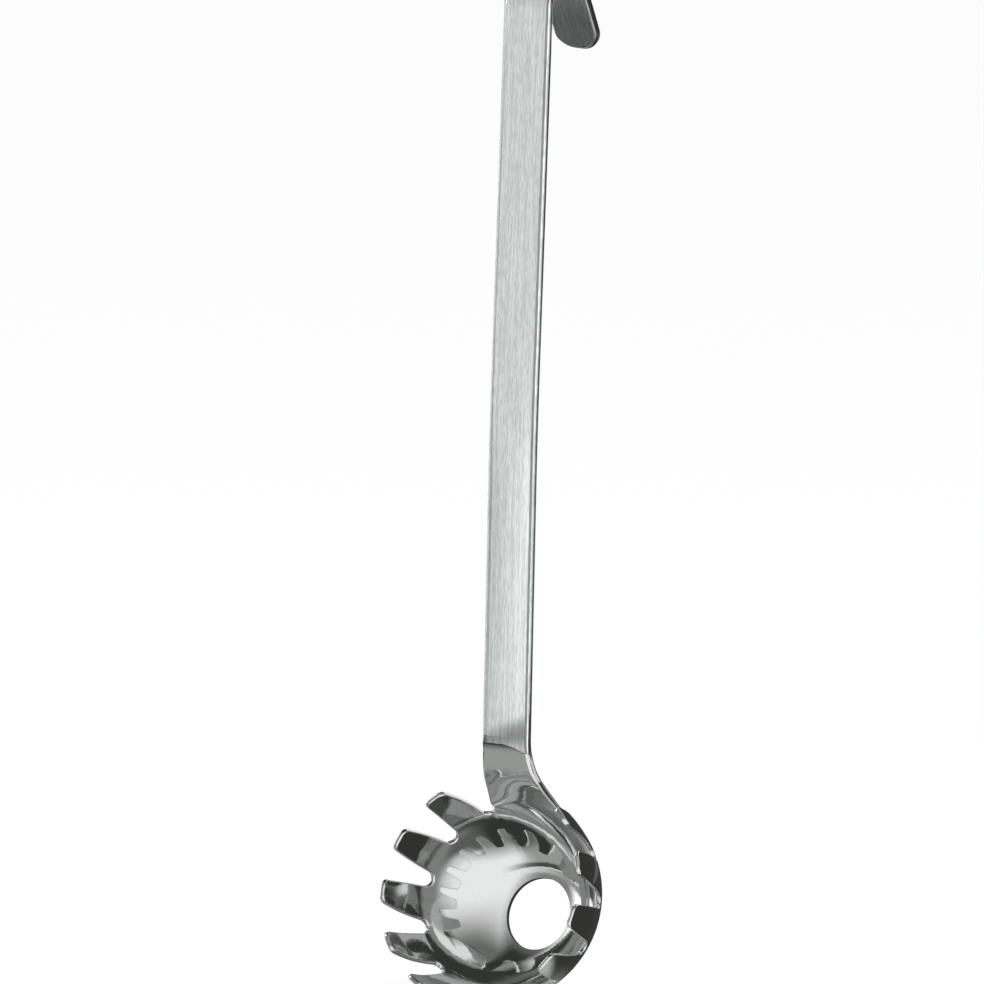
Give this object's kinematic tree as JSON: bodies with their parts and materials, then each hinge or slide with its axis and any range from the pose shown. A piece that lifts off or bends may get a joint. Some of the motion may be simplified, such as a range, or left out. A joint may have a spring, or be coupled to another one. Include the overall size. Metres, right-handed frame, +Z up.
{
  "type": "pasta server",
  "caption": "One-piece steel pasta server: flat strip handle hooked over at the top and a round toothed bowl with a drain hole.",
  "frame": {"origin": "centre of the bend of the hook, where the server hangs on a rail", "axes": "+Z up along the handle, +X across the strip along the rail, -Y the side that the bowl opens to, +Y the side that the hook falls to"},
  "size_m": [0.071, 0.0521, 0.3201],
  "materials": {
    "brushed_strip": "fine brush lines along the strip",
    "polished_bowl": "mirror polish"
  },
  "bodies": {
    "root": {"hooked_handle": "brushed_strip", "toothed_bowl": "polished_bowl"}
  },
  "joints": []
}
